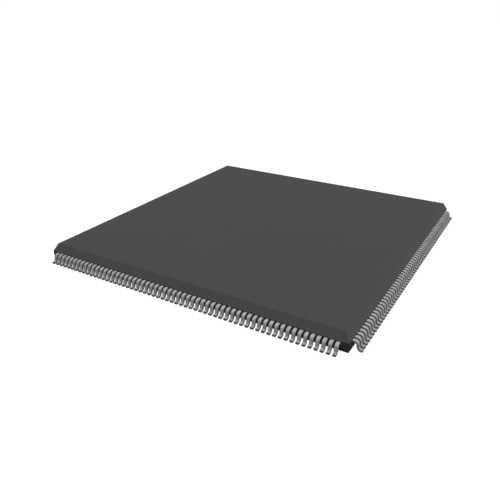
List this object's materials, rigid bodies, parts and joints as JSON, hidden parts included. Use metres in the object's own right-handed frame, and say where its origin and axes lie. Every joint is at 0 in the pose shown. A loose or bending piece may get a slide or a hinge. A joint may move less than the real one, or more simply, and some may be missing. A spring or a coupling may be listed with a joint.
{
  "type": "quad flat pack chip",
  "caption": "Low-profile quad flat pack: a plain black moulded square body with fine-pitch gull-wing leads on all four sides.",
  "frame": {"origin": "middle of the seating plane, under the centre of the body", "axes": "+Z from the seating plane to the plain top face; +X and +Y square to the sides; the front row of leads is on -Y"},
  "size_m": [0.0328, 0.0328, 0.0016],
  "materials": {
    "mould_compound": "matt, fine grain",
    "tin_plated_leads": "matt tin plating over copper alloy",
    "lead_frame_copper": "bare stamped copper alloy",
    "silver_epoxy": "cured silver-filled paste",
    "silicon": "polished silicon",
    "polyimide_tape": "amber film",
    "gold_wire": "drawn gold"
  },
  "bodies": {
    "root": {"mould_body": "mould_compound", "die_paddle": "lead_frame_copper", "die_attach": "silver_epoxy", "die": "silicon", "lead_tape": "polyimide_tape", "front_leads_a": "tin_plated_leads", "front_leads_b": "tin_plated_leads", "front_leads_c": "tin_plated_leads", "front_leads_d": "tin_plated_leads", "right_leads_a": "tin_plated_leads", "right_leads_b": "tin_plated_leads", "right_leads_c": "tin_plated_leads", "right_leads_d": "tin_plated_leads", "back_leads_a": "tin_plated_leads", "back_leads_b": "tin_plated_leads", "back_leads_c": "tin_plated_leads", "back_leads_d": "tin_plated_leads", "left_leads_a": "tin_plated_leads", "left_leads_b": "tin_plated_leads", "left_leads_c": "tin_plated_leads", "left_leads_d": "tin_plated_leads", "front_wires": "gold_wire", "right_wires": "gold_wire", "back_wires": "gold_wire", "left_wires": "gold_wire"}
  },
  "joints": []
}
